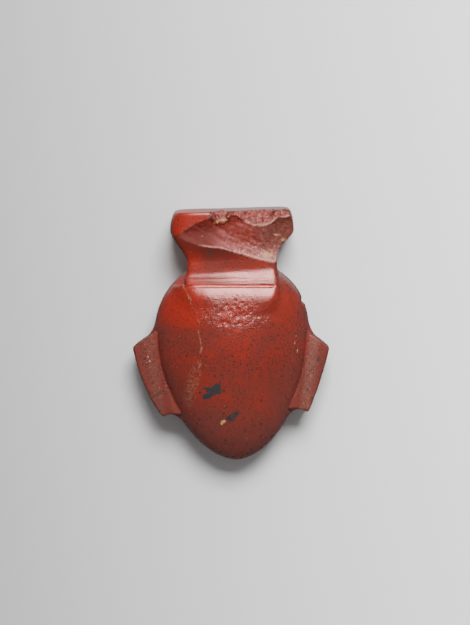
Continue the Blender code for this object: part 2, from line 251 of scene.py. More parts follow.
def neck(points):
    """Below 0 inside the apron, the neck and the rim."""
    x, y, z = points.T
    height = y - tilt(y) * x
    up_apron = smooth_step(APRON_HEIGHT, GROOVE_HEIGHT, height)
    widening = np.where(x < 0, 2 * APRON_LEFT_CORNER, LIP_WIDTH - APRON_WIDTH) * up_apron
    half_width = 0.5 * neck_profile(
        height, APRON_WIDTH + widening, LIP_WIDTH, 0.0, NECK_WIDTH, RIM_WIDTH, TOP_WIDTH
    )
    apron = apron_depth(height, HEART_FRONT)
    slope = mix(math.tan(LIP_LEFT_SLOPE), math.tan(LIP_SLOPE), smooth_step(*LIP_SLOPE_CHANGE, x))
    at_bend = smooth_step(LIP_HEIGHT, LIP_HEIGHT + BEND_DROP_FADE, height)
    at_bend = at_bend * smooth_step(NECK_HEIGHT, NECK_BEND_HEIGHT, height)
    drop = BEND_DROP + LEFT_BEND_DROP * smooth_step(*BEND_DROP_ACROSS, x)
    lifted = height + drop * at_bend
    front = neck_profile(lifted, apron, LIP_FRONT, slope, NECK_FRONT, RIM_FRONT, RIM_FRONT)
    apron = apron_depth(height, HEART_BACK)
    back = neck_profile(height, apron, LIP_BACK, 0.0, NECK_BACK, RIM_BACK, RIM_BACK)
    left = mix(APRON_LEFT_SQUARENESS, CORNER_SQUARENESS, up_apron)
    right = mix(APRON_RIGHT_SQUARENESS, NECK_SQUARENESS, up_apron)
    apron = mix(left, right, smooth_step(*CORNER_CHANGE, x))
    squareness = neck_profile(
        height, apron, NECK_SQUARENESS, 0.0, NECK_SQUARENESS, RIM_SQUARENESS, RIM_SQUARENESS
    )
    half_depth = np.where(z > 0, front, back)
    section = np.abs(x / half_width) ** squareness + np.abs(z / half_depth) ** squareness
    radius = np.hypot(x, z)
    edge = radius / np.maximum(section, 1e-12) ** (1 / squareness)
    up = np.clip((height - NECK_HEIGHT) / (RIM_HEIGHT - NECK_HEIGHT), 0.0, 1.0)
    rightness = np.maximum(x, 0.0) / np.maximum(radius, 1e-6)
    edge = edge - RIGHT_UNDERCUT * np.sin(math.pi * up) ** 2 * rightness
    return radius - np.where(height < APRON_HEIGHT, -1.0, edge)


def carved_line(points):
    """Depth of the line that is cut across the front, under the lip."""
    x, y, z = points.T
    away = np.abs(y - GROOVE_HEIGHT) / (GROOVE_WIDTH / 2)
    end = GROOVE_LENGTH / 2
    ends = smooth_step(end + GROOVE_END_FADE, end - GROOVE_END_FADE, np.abs(x))
    return GROOVE_DEPTH * np.maximum(1.0 - away, 0.0) * ends * (z > 0)


def lug(points, side, size, heart_level):
    """Distances to the plate on one side, and to its front and back faces alone."""
    x, y, z = points.T
    x = side * x
    top_reach = HEART_WIDTH / 2 + size["beyond_heart"]
    up = np.clip((y - LUG_TOP_HEIGHT) / size["length"] + 1.0, 0.0, 1.0)
    fullest = LUG_BOW_LOWNESS / (1 + LUG_BOW_LOWNESS)
    bow = (1 - up) * up**LUG_BOW_LOWNESS / ((1 - fullest) * fullest**LUG_BOW_LOWNESS)
    reach = top_reach - size["foot_inset"] * (1 - up) + size["outer_bow"] * bow
    outer = (x - reach) / math.hypot(1.0, size["foot_inset"] / size["length"])
    inward = (top_reach - x) / size["beyond_heart"]
    arch = LUG_TOP_BOW * np.maximum(4 * inward * (1 - inward), 0.0)
    top = (y - LUG_TOP_HEIGHT - LUG_TOP_FALL * inward - arch) / math.hypot(
        1.0, LUG_TOP_FALL / size["beyond_heart"]
    )
    root = LUG_ROOT * HEART_WIDTH / 2
    out = np.clip((x - root) / (reach - root), 0.0, 1.0)
    foot = LUG_TOP_HEIGHT - size["length"] + LUG_FOOT_ARCH * 4 * out * (1 - out) - y
    thickness = LUG_THICKNESS * mix(1.0, LUG_TAPER, np.maximum(2 * out - 1, 0.0))
    face = np.abs(z) - thickness / 2
    sides = np.stack([outer, top, foot, face, root - x]) + LUG_EDGE_ROUNDING
    outside = np.linalg.norm(np.maximum(sides, 0.0), axis=0)
    plate = outside + np.minimum(sides.max(axis=0), 0.0) - LUG_EDGE_ROUNDING
    line = LUG_LINE_DEPTH * np.exp(-(((heart_level - LUG_LINE_OFFSET) / LUG_LINE_WIDTH) ** 2))
    return plate + line * smooth_step(*LUG_LINE_BEHIND_FACE, face), face


def turned_axes(about_y, about_z):
    """Axes of a shape that is turned about Y and then about Z, in degrees, as columns."""
    a, b = math.radians(about_y), math.radians(about_z)
    about_y = np.array([[math.cos(a), 0, math.sin(a)], [0, 1, 0], [-math.sin(a), 0, math.cos(a)]])
    about_z = np.array([[math.cos(b), -math.sin(b), 0], [math.sin(b), math.cos(b), 0], [0, 0, 1]])
    return about_z @ about_y


def scoop(points, flake):
    """Distance to an ellipsoid, below 0 inside it."""
    centre, radii, turned = flake
    own = (points - np.array(centre)) @ turned_axes(*turned)
    inner = np.linalg.norm(own / np.array(radii), axis=1)
    slope = np.linalg.norm(own / np.array(radii) ** 2, axis=1)
    return inner * (inner - 1.0) / np.maximum(slope, 1e-6)


def carved(points):
    """Distance to the whole carving, before anything broke off it."""
    heart_level = as_distance(heart, points)
    neck_level = as_distance(neck, points)
    x, y, _ = points.T
    top = (y - math.tan(TOP_SLOPE) * x - TOP_HEIGHT) * math.cos(TOP_SLOPE)
    neck_level = smooth_max(neck_level, top, 2 * TOP_ARRIS)
    on_apron = smooth_step(*SEAM_TOP, y)
    seam = mix(SEAM_BLEND, LEFT_SEAM_BLEND, smooth_step(*SEAM_CHANGE, -x) * on_apron)
    seam = mix(seam, RIGHT_SEAM_BLEND, smooth_step(*SEAM_CHANGE, x) * on_apron)
    form = smooth_min(heart_level, neck_level, seam) + carved_line(points)
    for side, size in ((-1, LEFT_LUG), (1, RIGHT_LUG)):
        plate, face = lug(points, side, size, heart_level)
        fillet = mix(LUG_FRONT_SEAM, LUG_FILLET, smooth_step(*LUG_FILLET_BEHIND_FACE, face))
        form = smooth_min(form, plate, fillet)
    return form


def left_facet(points):
    """Distance to the slanting plane that parts the broken face from what is left of the rim."""
    low, high = (np.array(corner) for corner in FACET_CORNERS)
    along = high - low
    along /= np.linalg.norm(along)
    downhill = np.cross(along, (0.0, 0.0, 1.0))
    downhill /= np.linalg.norm(downhill)
    downhill = downhill * math.cos(FACET_SLOPE) - np.cross(downhill, along) * math.sin(FACET_SLOPE)
    facing = np.cross(downhill, along)
    facing *= np.sign(facing[2])
    return (low - points) @ facing


def broken_faces(points):
    """Distances to the large broken face of the rim and to its crushed edge."""
    large = scoop(points, BROKEN_FLAKES[0])
    large = large + LEFT_END_LIFT * smooth_step(*LEFT_END_ACROSS, points[:, 0])
    for flake in BROKEN_FLAKES[1:]:
        large = smooth_min(large, scoop(points, flake), FLAKE_BLEND)
    large = smooth_max(large, left_facet(points), FLAKE_BLEND)
    crushed = np.min([scoop(points, chip) for chip in EDGE_CHIPS], axis=0)
    return large, crushed


def stone(points):
    """Distance to the stone as it is now: carved, broken, and flat where it lies."""
    level = carved(points)
    for face in broken_faces(points):
        level = smooth_max(level, -face, BREAK_EDGE)
    return np.maximum(level, -RESTING_DEPTH - points[:, 2])


def stone_origin():
    """The frame's place of the stone's own origin, in metres, from the box of the CAD solid."""
    low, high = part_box("heart_amulet")
    across = (LEFT_LUG["beyond_heart"] - RIGHT_LUG["beyond_heart"]) / 2
    middle = (low.x + high.x) / 2 * METRES_TO_MM
    return Vector((middle + across, low.y * METRES_TO_MM, low.z * METRES_TO_MM + RESTING_DEPTH))


def meshed_copy(origin):
    """The CAD solid's points, merged and remeshed evenly, in the stone's own axes."""
    bm = bmesh.new()
    bm.from_mesh(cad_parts["heart_amulet"].data)
    bmesh.ops.remove_doubles(bm, verts=bm.verts, dist=1e-6)
    bmesh.ops.scale(bm, verts=bm.verts, vec=(METRES_TO_MM,) * 3)
    bmesh.ops.translate(bm, verts=bm.verts, vec=-origin)
    mesh = bpy.data.meshes.new("jasper_amulet")
    bm.to_mesh(mesh)
    bm.free()
    piece = bpy.data.objects.new("jasper_amulet", mesh)
    bpy.context.scene.collection.objects.link(piece)
    remesh = piece.modifiers.new("even_faces", "REMESH")
    remesh.mode = "VOXEL"
    remesh.voxel_size = VOXEL
    remesh.adaptivity = 0.0
    graph = bpy.context.evaluated_depsgraph_get()
    piece.data = bpy.data.meshes.new_from_object(piece.evaluated_get(graph))
    piece.modifiers.clear()
    return piece


def points_of(mesh):
    flat = np.empty(len(mesh.vertices) * 3, np.float32)
    mesh.vertices.foreach_get("co", flat)
    return flat.reshape(-1, 3).astype(np.float64)


def settle(points):
    """Each point is moved along the slope until it lies on the stone."""
    for _ in range(SETTLING_STEPS):
        slope = gradient(stone, points)
        squared = np.maximum((slope**2).sum(axis=1), LEAST_SQUARED_SLOPE)
        step = stone(points)[:, None] * slope / squared[:, None]
        points = points - np.clip(step, -VOXEL, VOXEL)
    return points


# Surface relief, in millimetres: how deep each kind of mark goes and how many fit in a millimetre
WAVINESS, WAVES = 0.035, 0.2
RIPPLE_DEPTH, RIPPLES_ALONG, RIPPLES_ACROSS, RIPPLES_INWARD = 0.13, 0.2, 1.1, 0.3
RIPPLE_TURN = math.radians(-31.0)
RIPPLES_END = (7.5, 3.0)
SCAR_GRAIN_DEPTH, SCAR_GRAINS = 0.05, 2.2
CRUMB_DEPTH, CRUMBS, CRUMB_LEVEL = 0.62, 1.0, 0.45
FINE_CRUMB_DEPTH, FINE_CRUMBS = 0.26, 2.3
PIT_DEPTH, PITS, PIT_EDGES = 0.12, 1.6, (0.12, 0.5)
PITTED_MIDDLE, PITTED_REACH, PITTED_FADE = (0.6, 23.8), (5.6, 2.9), (1.15, 0.55)
LUGS_BEGIN, LUG_FACE_FADE = 12.0, (2.3, 1.9)
LUG_CHIP_DEPTH, LUG_CHIPS, LUG_CHIP_EDGES = 0.22, 0.75, (0.15, 0.6)
LUG_CHIP_SHIFT = 7.0
NOTCH_PLACE, NOTCH_RADIUS, NOTCH_DEPTH = (11.1, 25.4), 0.42, 0.5
NOTCH_LEAN, NOTCH_REACH = 0.25, (3.0, 1.5)
SCAR_FADE = 0.16
EDGE_REACH, EDGE_RISE = 0.16, 0.05
HINGE_LEFT_END, HINGE_RIGHT_END, HINGE_TOP = (-5.4, -4.4), (7.6, 6.9), 36.0
CRUSHED_LINE_LEFT_END = (1.0, 2.5)


def fractal(points, octaves=4):
    """Smooth noise about zero, with each octave twice as fine as the one before."""
    return np.array([noise.fractal(Vector(point), 0.7, 2.0, octaves) for point in points])


def cells(points):
    """Distance to the middle of the nearest cell, which makes scooped facets."""
    return np.array([noise.voronoi(Vector(point))[0][0] for point in points])


def near(distance, reach):
    return smooth_step(reach, reach / 3, np.abs(distance))


def broken_relief(points, large):
    """Ripples that fan across the broken face, and its grain."""
    x, y, z = points.T
    cos, sin = math.cos(RIPPLE_TURN), math.sin(RIPPLE_TURN)
    along, across = x * cos + y * sin, y * cos - x * sin
    counted = [along * RIPPLES_ALONG, across * RIPPLES_ACROSS, z * RIPPLES_INWARD]
    ripples = fractal(np.stack(counted, axis=1), 3) * RIPPLE_DEPTH * smooth_step(*RIPPLES_END, x)
    grain = fractal(points * SCAR_GRAINS) * SCAR_GRAIN_DEPTH
    return (ripples + grain) * large


def crushed_relief(points, crushed):
    crumbs = (cells(points * CRUMBS) - CRUMB_LEVEL) * CRUMB_DEPTH
    crumbs += (cells(points * FINE_CRUMBS) - CRUMB_LEVEL) * FINE_CRUMB_DEPTH
    return crumbs * crushed


def pitted_share(points):
    """How much the front of the apron is pitted: most in its middle."""
    x, y, z = points.T
    across = (x - PITTED_MIDDLE[0]) / PITTED_REACH[0]
    up = (y - PITTED_MIDDLE[1]) / PITTED_REACH[1]
    return smooth_step(*PITTED_FADE, np.hypot(across, up)) * (z > 0)


def bruise_and_highlight_lines(points, large, crushed):
    """The thin lines where the broken face meets the neck and where it meets the crushed edge."""
    x, y, _ = points.T
    hinge = near(carved(points), EDGE_REACH) * near(large, EDGE_REACH) * (y < HINGE_TOP)
    hinge = hinge * smooth_step(*HINGE_LEFT_END, x) * smooth_step(*HINGE_RIGHT_END, x)
    step = near(large, EDGE_REACH) * near(crushed, EDGE_REACH)
    return np.maximum(hinge, step * smooth_step(*CRUSHED_LINE_LEFT_END, x))


def relief(points, broken):
    """How far each point stands out of the smooth form, and the share that is broken there."""
    x, y, z = points.T
    large, crushed = broken
    whole = (1 - large) * (1 - crushed)
    height = fractal(points * WAVES, 2) * WAVINESS * whole
    for share, marks in ((large, broken_relief), (crushed, crushed_relief)):
        here = share > 0
        height[here] += marks(points[here], share[here])
    pitted = pitted_share(points)
    here = pitted > 0
    pits = smooth_step(*PIT_EDGES, fractal(points[here] * PITS, 3))
    height[here] -= pits * PIT_DEPTH * pitted[here]
    here = np.abs(x) > LUGS_BEGIN
    chips = smooth_step(*LUG_CHIP_EDGES, fractal(points[here] * LUG_CHIPS + LUG_CHIP_SHIFT, 3))
    height[here] -= chips * LUG_CHIP_DEPTH * smooth_step(*LUG_FACE_FADE, np.abs(z[here]))
    across = x - NOTCH_PLACE[0]
    away = np.hypot(across, y - NOTCH_PLACE[1] + NOTCH_LEAN * across)
    notch = NOTCH_DEPTH * np.exp(-((away / NOTCH_RADIUS) ** 2))
    height -= notch * smooth_step(*NOTCH_REACH, np.abs(z))
    return height


def amulet():
    origin = stone_origin()
    piece = meshed_copy(origin)
    points = settle(points_of(piece.data))
    slope = gradient(stone, points)
    normals = slope / np.linalg.norm(slope, axis=1)[:, None]
    faces = broken_faces(points)
    # Pale bruise lines at the break's edges: raised a little, and painted pale, partly as a painted
    # highlight
    bruise_and_highlight = bruise_and_highlight_lines(points, *faces)
    large, crushed = (near(distance, SCAR_FADE) for distance in faces)
    large = large * (1 - crushed)
    raised = relief(points, (large, crushed)) + bruise_and_highlight * EDGE_RISE
    worked = points + normals * raised[:, None]
    worked[:, 2] = np.maximum(worked[:, 2], -RESTING_DEPTH)
    worked = (worked + np.array(origin)) / METRES_TO_MM
    piece.data.vertices.foreach_set("co", worked.astype(np.float32).ravel())
    for name, share in (("broken", large), ("crushed", crushed), ("bruise_and_highlight", bruise_and_highlight)):
        kept = piece.data.attributes.new(name, "FLOAT", "POINT")
        kept.data.foreach_set("value", share.astype(np.float32))
    piece.data.update()
    piece.data.shade_smooth()
    piece.data.materials.clear()
    piece.data.materials.append(Jasper(origin).finished())
    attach(piece, "root")
    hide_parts("heart_amulet")
    return piece


class Number:
    """A shader value that takes part in sums and products."""

    def __init__(self, shading, socket):
        self.shading = shading
        self.socket = socket

    def maths(self, operation, *values):
        sockets = {i: value for i, value in enumerate(values)}
        return self.shading.node("ShaderNodeMath", {"operation": operation}, sockets)

    def __add__(self, other):
        return self.maths("ADD", self, other)

    def __radd__(self, other):
        return self.maths("ADD", other, self)

    def __sub__(self, other):
        return self.maths("SUBTRACT", self, other)

    def __rsub__(self, other):
        return self.maths("SUBTRACT", other, self)

    def __mul__(self, other):
        return self.maths("MULTIPLY", self, other)

    def __truediv__(self, other):
        return self.maths("DIVIDE", self, other)

    def __abs__(self):
        return self.maths("ABSOLUTE", self)

    def or_more(self, other):
        return self.maths("MAXIMUM", self, other)

    def or_less(self, other):
        return self.maths("MINIMUM", self, other)


class Shading:
    """Makes and links the nodes of one material."""

    def __init__(self, name):
        self.material = bpy.data.materials.new(name)
        self.material.use_nodes = True
        self.tree = self.material.node_tree
        self.surface = self.tree.nodes["Principled BSDF"]

    def feed(self, socket, value):
        if isinstance(value, Number):
            self.tree.links.new(value.socket, socket)
        else:
            socket.default_value = value

    def node(self, kind, settings=None, values=None, output=0):
        made = self.tree.nodes.new(kind)
        for name, value in (settings or {}).items():
            setattr(made, name, value)
        for name, value in (values or {}).items():
            self.feed(made.inputs[name], value)
        return Number(self, made.outputs[output])

    def ramp(self, low, high, value):
        """0 at low, 1 at high, and an S-curve between them."""
        settings = {"interpolation_type": "SMOOTHSTEP"}
        values = {"Value": value, "From Min": low, "From Max": high}
        if low > high:
            return 1 - self.ramp(high, low, value)
        return self.node("ShaderNodeMapRange", settings, values)

    def blend(self, share, start, end):
        """One colour into another."""
        settings = {"data_type": "RGBA"}
        colours = {6: colour_or_link(start), 7: colour_or_link(end)}
        return self.node("ShaderNodeMix", settings, {0: share, **colours}, output=2)

    def moved(self, place, by, stretched):
        """Coordinates that are stretched and then shifted."""
        values = {0: place, 1: stretched, 2: by}
        return self.node("ShaderNodeVectorMath", {"operation": "MULTIPLY_ADD"}, values)


def colour_or_link(value):
    return value if isinstance(value, Number) else (*value, 1.0)


# Colours of the stone
DEEP_RED = (0.140, 0.021, 0.0145)
BRIGHT_RED = (0.26, 0.016, 0.008)
BROWN_RED = (0.125, 0.035, 0.028)
DUSTY_RED = (0.15, 0.058, 0.040)
FRESH_BREAK = (0.168, 0.016, 0.010)
DULL_BREAK = (0.115, 0.030, 0.021)
CRUSHED_RED = (0.30, 0.048, 0.032)
# Painted shade: under the rim's flare, at the break's left end, in clouds on the break and between
# crumbs
PAINTED_SHADE_RED = (0.075, 0.014, 0.010)
# Painted light: a brighter red in the groove under the lip
PAINTED_LIGHT_GROOVE_RED = (0.40, 0.035, 0.020)
# Painted glints: on the broken face, on the crushed edge, on the bruise lines at the break's edges
# and on the pale nicks
PAINTED_GLINT = (0.62, 0.33, 0.27)
RUST = (0.17, 0.080, 0.045)
OCHRE = (0.23, 0.10, 0.055)
PALE_OCHRE = (0.42, 0.24, 0.10)
GREEN_GREY = (0.05, 0.034, 0.026)
DARK_SPECK = (0.034, 0.020, 0.018)
IRON_BLACK = (0.026, 0.030, 0.032)

# Colour of the stone's gloss
GLOSS_TINT = (1.0, 0.5, 0.48)

# Parts of the front in millimetres, each from where it begins to where it is full
FRONT = (0.0, 1.5)
LEFT_SHOULDER = {"across": (-2.5, -7.0), "up": (19.0, 25.0)}
RIM_LEFT = {"across": (-3.0, -6.0), "up": (35.0, 36.5)}
# Where the broken face's left end gets painted shade, and more roughness
BREAK_LEFT_END = {"across": (-0.5, -4.5), "up": (38.7, 36.7)}
# Where painted shade darkens the neck under the rim's flare
UNDER_RIM = {"across": (5.0, -4.0), "up": (36.4, 35.7)}
NECK_LEFT = {"across": (2.0, -6.0), "up": (27.5, 28.5)}
BROWN_TIP = (17.0, 3.0)
BROWN_SIDES, BELOW_SHOULDERS = (6.0, 12.0), (25.0, 20.0)
DULL_BREAK_SIDE = (2.5, 5.5)
# Where the painted glints on the broken face gather: near its lower edge, and towards the right
NEAR_HINGE, PAINTED_GLINTS_ACROSS = (2.6, 0.8), (-2.0, 2.5)
BELOW_HINGE = (-4.0, -1.0)
# Where the groove under the lip is painted lighter
GROOVE_BAND, GROOVE_END = (0.30, 0.15), (6.9, 6.3)

# Bands across the front, each with its lower and its upper edge
LUG_BAND = ((6.0, 7.0), (21.0, 19.5))
VEIN_BAND = ((10.5, 11.5), (29.0, 28.0))
LIP_BAND = ((27.9, 28.2), (30.2, 29.2))
NECK_SPECK_BAND = ((28.6, 30.0), (35.0, 33.0))
MIDDLE_SPECK_BAND = ((12.0, 16.0), (24.5, 21.0))

# The lower edge of the large break: its height at the middle, and how far it falls per millimetre
HINGE_HEIGHT, HINGE_FALL = 33.7, 0.23

# The line where a lug's face leaves the heart, and how far from it the rough strip reaches
LUG_EDGE_ACROSS, LUG_EDGE_HEIGHT, LUG_EDGE_LEAN = 10.3, 8.0, 0.14
LUG_FACE, ROUGH_STRIP = (0.0, 0.8), (2.7, 1.5)

# Dark inclusions on the front, each made of many-sided pieces whose corners run anticlockwise
BIRD = [
    [(-4.85, 12.35), (-4.1, 11.65), (-3.3, 11.35), (-3.0, 12.2), (-3.7, 12.15)],
    [(-3.5, 11.5), (-2.6, 11.05), (-1.75, 10.95), (-1.8, 12.55), (-2.45, 12.8), (-3.1, 12.25)],
    [(-4.7, 10.85), (-4.5, 10.1), (-3.5, 10.3), (-2.5, 11.1), (-3.3, 11.4)],
]
LEAF = [[(-0.95, 7.35), (-0.85, 6.75), (0.0, 6.5), (0.75, 7.2), (1.2, 8.5), (0.2, 8.1)]]

# Ovals: middle, half-width and half-height, and turn in degrees
OCHRE_CHIPS = [((-1.35, 6.6), (0.40, 0.26), 30.0), ((-1.6, 6.25), (0.22, 0.2), 0.0)]
BREAK_STAINS = [
    ((5.6, 33.1), (0.95, 0.50), 8.0),
    ((7.2, 36.0), (0.55, 0.17), -8.0),
    ((8.0, 35.2), (0.52, 0.20), 18.0),
    ((-2.5, 38.1), (0.55, 0.24), 25.0),
    ((-1.2, 38.45), (0.85, 0.2), 4.0),
]
DARK_SPOTS = [
    ((-3.6, 33.1), (0.26, 0.26), 0.0),
    ((-3.3, 39.0), (0.32, 0.24), 0.0),
    ((-0.4, 38.35), (0.2, 0.16), 0.0),
    ((13.6, 16.1), (0.24, 0.34), 0.0),
]
# Pale nicks on the lugs and the right side, partly painted glints
PALE_NICKS_AND_GLINTS = [
    ((-13.25, 16.6), (0.08, 0.16), 20.0),
    ((-13.0, 15.9), (0.14, 0.10), 0.0),
    ((10.1, 20.1), (0.08, 0.1), 0.0),
    ((10.3, 17.7), (0.06, 0.28), -12.0),
    ((9.9, 19.0), (0.05, 0.22), -8.0),
]
LUG_SMUDGE = [((-11.7, 10.7), (1.0, 0.26), 38.0)]
BROWN_PATCH = [((-6.2, 12.4), (1.0, 3.6), -12.0)]
PITTED_PATCH = [(PITTED_MIDDLE, PITTED_REACH, 0.0)]

# The vein: the height where it is furthest right, its place there, how fast it bends away to the
# left, how far it wanders, and how far from its middle it begins and is full
VEIN_BEND_HEIGHT, VEIN_ACROSS, VEIN_BEND = 18.5, -4.85, 0.030
VEIN_WANDER, VEIN_EDGES = 1.9, (0.15, 0.04)

# Clouds of noise: how many in a millimetre, their detail, their roughness and their distortion
MOTTLE = (0.16, 4.0, 0.55, 0.4)
FINE_MOTTLE = (0.9, 5.0, 0.6)
EDGE_WANDER = (1.6, 3.0)
VEIN_BENDS = (0.7, 4.0, 0.6)
BREAK_CLOUDS = (1.8, 6.0, 0.75)
GRAIN = (3.5, 6.0, 0.65)
SCRATCHES, SCRATCH_STRETCH = (3.0, 3.0), (0.15, 2.2, 0.6)

# Clouds of noise with sharper edges, and the levels where each begins and is full
PATCHES = {
    "dense specks": ((0.22, 3.0), (0.38, 0.62)),
    "dust": ((1.7, 6.0, 0.7), (0.38, 0.58)),
    "painted glints on crushed edge": ((3.4, 3.0, 0.6), (0.60, 0.68)),
    "vein": ((0.8, 3.0), (0.44, 0.54)),
    "brown patch": ((2.4, 5.0, 0.7), (0.48, 0.58)),
    "leaf": ((3.2, 3.0), (0.32, 0.50)),
    "stains": ((2.8, 4.0, 0.65), (0.40, 0.56)),
}

# How much of its colour each mark takes where it is full
COVER = {
    "brown tip": 0.8,
    "brown sides": 0.4,
    "lugs": 0.35,
    "dust": 0.8,
    "shade under the rim": 0.72,
    "painted light in groove": 0.8,
    "painted crevice shade": 0.75,
    "painted shade at left end": 0.75,
    "broken face": 0.85,
    "painted glints on crushed edge": 0.85,
    "crushed edge": 0.9,
    "bruise and painted highlight line": 0.45,
    "vein": 0.85,
    "brown patch": 0.85,
    "dark specks": 0.85,
    "pale specks": 0.6,
    "dark spots": 0.85,
    "smudge": 0.7,
    "pale nicks and painted glints": 0.65,
    "stains": 0.75,
    "ochre chips": 0.9,
}

# Specks: cells in a millimetre, the radius in cells, and the share of cells that have one
LARGE_SPECKS = (0.7, 0.15, 0.55)
MIDDLE_SPECKS = (1.35, 0.20, 0.8)
SMALL_SPECKS = (2.4, 0.30, 0.85)
FINEST_SPECKS = (3.4, 0.30, 0.6)
PALE_SPECKS, DUST_SPECKS = (1.7, 0.10, 0.10), (2.6, 0.24, 0.45)
FINE_PITS = (2.6, 0.22, 0.35)
CRUMB_CELLS = 1.9

# What the polished stone has, and what each other place adds to it: roughness, and the depth of
# grain and of fine pits in millimetres
ROUGHNESS = {"polished": 0.29, "broken": 0.24, "crushed": 0.04, "lugs": 0.04, "rough strip": 0.14}
GRAIN_DEPTH = {
    "polished": 0.004,
    "broken": 0.05,
    "crushed": 0.22,
    "pitted": 0.08,
    "rough strip": 0.08,
}
FINE_PIT_DEPTH = {"polished": 0.008, "broken": 0.03, "pitted": 0.06, "rough strip": 0.10}
SCRATCH_DEPTH, LIP_SCRATCH_DEPTH, SPECK_DEPTH = 0.006, 0.05, 0.008


class Jasper(Shading):
    """Red jasper: mottled, speckled and veined, polished where it isn't broken."""

    def __init__(self, origin):
        super().__init__("red_jasper")
        place = self.node("ShaderNodeTexCoord", output="Object")
        self.place = self.moved(place, tuple(-origin), (METRES_TO_MM,) * 3)
        self.x, self.y, z = (
            self.node("ShaderNodeSeparateXYZ", {}, {"Vector": self.place}, output=axis)
            for axis in range(3)
        )
        self.front = self.ramp(*FRONT, z)
        self.broken, self.crushed, self.bruise_and_highlight = (
            self.node("ShaderNodeAttribute", {"attribute_name": name}, output="Fac")
            for name in ("broken", "crushed", "bruise_and_highlight")
        )
        self.fine_mottle = self.clouds(*FINE_MOTTLE)
        self.wobble = (self.clouds(*EDGE_WANDER) - 0.5) * 1.6
        self.above_hinge = self.y + self.x * HINGE_FALL - HINGE_HEIGHT
        self.break_left_end = self.within(**BREAK_LEFT_END)
        self.on_lip = self.band(*LIP_BAND)
        self.on_lug, self.rough_strip = self.lug_faces()
        self.dark_specks = self.all_dark_specks()
        self.places = {
            "broken": self.broken,
            "crushed": self.crushed,
            "lugs": self.on_lug,
            "rough strip": self.rough_strip,
            "pitted": self.spots(PITTED_PATCH, 1.0, 0.6),
        }

    def clouds(self, scale, detail=3.0, roughness=0.5, distortion=0.0, place=None):
        values = {
            "Vector": place or self.place,
            "Scale": scale,
            "Detail": detail,
            "Roughness": roughness,
            "Distortion": distortion,
        }
        return self.node("ShaderNodeTexNoise", {}, values)

    def patches(self, name):
        """1 where clouds of one kind are above their level."""
        clouds, levels = PATCHES[name]
        return self.ramp(*levels, self.clouds(*clouds))

    def covered(self, colour, name, mark, colour_of_mark):
        """A colour with one mark over it."""
        return self.blend(mark * COVER[name], colour, colour_of_mark)

    def specks(self, scale, radius, share):
        """Small spots, one in each cell of the share of cells that have one."""
        settings = {"feature": "F1"}
        values = {"Vector": self.place, "Scale": scale, "Randomness": 1.0}
        away = self.node("ShaderNodeTexVoronoi", settings, values)
        chance = self.node("ShaderNodeTexVoronoi", settings, values, output=1)
        chance = self.node("ShaderNodeSeparateColor", {}, {"Color": chance})
        return self.ramp(radius * 1.25, radius * 0.75, away) * self.ramp(share, share * 0.9, chance)

    def within(self, across, up):
        """1 in one part of the front, which begins and becomes full at the given places."""
        return self.ramp(*across, self.x) * self.ramp(*up, self.y)

    def band(self, lower_edge, upper_edge):
        return self.ramp(*lower_edge, self.y) * self.ramp(*upper_edge, self.y)

    def summed(self, amounts):
        """The polished stone's amount, with what each other place adds to it."""
        total = amounts["polished"]
        for name, place in self.places.items():
            if name in amounts:
                total = total + place * amounts[name]
        return total

    def spots(self, ovals, wander, softness=0.25):
        """1 inside any of a few turned ovals on the front, with edges that wander."""
        inside = None
        for (across, up), (half_width, half_height), turn in ovals:
            cos, sin = math.cos(math.radians(turn)), math.sin(math.radians(turn))
            dx, dy = self.x - across, self.y - up
            u = (dx * cos + dy * sin) / half_width
            v = (dy * cos - dx * sin) / half_height
            away = u * u + v * v + self.wobble * wander
            oval = self.ramp(1 + softness, 1 - softness, away)
            inside = oval if inside is None else inside.or_more(oval)
        return inside * self.front

    def angular(self, pieces, wander):
        """1 inside any of a few many-sided pieces on the front, with edges that wander."""
        inside = None
        for corners in pieces:
            outside = None
            for (x0, y0), (x1, y1) in zip(corners, [*corners[1:], corners[0]]):
                length = math.hypot(x1 - x0, y1 - y0)
                away = (self.x - x0) * ((y1 - y0) / length) - (self.y - y0) * ((x1 - x0) / length)
                outside = away if outside is None else outside.or_more(away)
            piece = self.ramp(0.05, -0.05, outside + self.wobble * wander)
            inside = piece if inside is None else inside.or_more(piece)
        return inside * self.front

    def lug_faces(self):
        """The lugs' faces, and the rough strip on them beside the heart, rougher on the right."""
        out = abs(self.x) - LUG_EDGE_ACROSS - (self.y - LUG_EDGE_HEIGHT) * LUG_EDGE_LEAN
        on_lug = self.ramp(*LUG_FACE, out) * self.band(*LUG_BAND)
        strip = on_lug * self.ramp(*ROUGH_STRIP, out)
        return on_lug, strip * (0.45 + self.ramp(-1.0, 1.0, self.x) * 0.55)

    def all_dark_specks(self):
        """Dark specks of four sizes, most of them on the neck and across the middle."""
        dense = self.patches("dense specks") * 0.55
        dense = dense + (self.band(*NECK_SPECK_BAND) + self.band(*MIDDLE_SPECK_BAND)) * 0.4
        dense = (dense + 0.3).or_less(1.0)
        specks = self.specks(*MIDDLE_SPECKS) * dense
        specks = specks.or_more(self.specks(*SMALL_SPECKS) * dense)
        specks = specks.or_more(self.specks(*FINEST_SPECKS) * dense * 0.55)
        specks = specks.or_more(self.specks(*LARGE_SPECKS))
        specks = specks * COVER["dark specks"]
        return specks * (1 - self.crushed * 0.6) * (1 - self.broken * 0.3)

